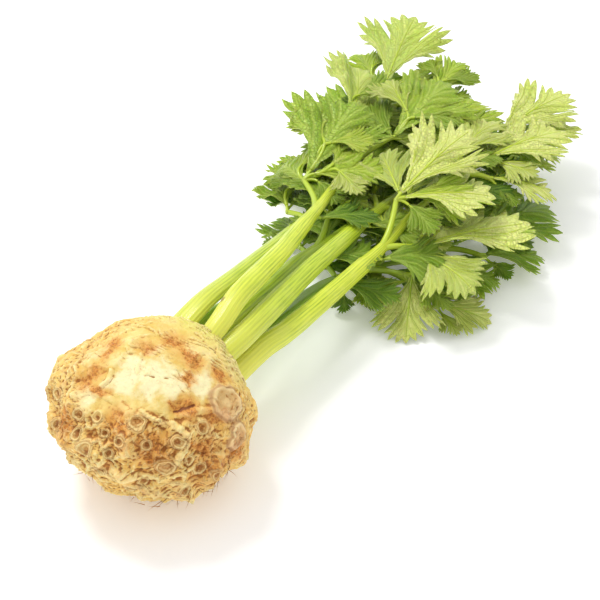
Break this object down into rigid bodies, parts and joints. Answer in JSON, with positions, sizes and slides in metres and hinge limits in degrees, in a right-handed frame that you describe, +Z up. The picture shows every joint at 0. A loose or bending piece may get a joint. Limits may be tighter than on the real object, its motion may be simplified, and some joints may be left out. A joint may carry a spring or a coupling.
{
  "type": "celeriac",
  "caption": "knobbly celeriac root lying on its side with its ribbed leaf stalks and divided leaves still growing from the crown",
  "frame": {"origin": "the middle of the flat spot under the root, on the table", "axes": "+Z up from the table; +Y along the plant, from the root towards the leaf tips; +X to the right of that, so that the leaves with the fewest forks lie at +X"},
  "size_m": [0.2512, 0.5227, 0.1004],
  "materials": {
    "root_skin": "matt, rough vegetable skin, cream where it is trimmed",
    "stalk": "smooth waxy green stalk with fine ribs",
    "leaf": "satin leaf, paler underneath"
  },
  "bodies": {
    "root": {"root": "root_skin", "stalk_1": "stalk", "stalk_2": "stalk", "stalk_3": "stalk", "stalk_4": "stalk", "stalk_5": "stalk", "stalk_6": "stalk", "stalk_7": "stalk", "frond_1": "leaf", "frond_2": "leaf", "frond_3": "leaf", "frond_4": "leaf", "frond_5": "leaf", "frond_6": "leaf", "frond_7": "leaf"}
  },
  "joints": []
}
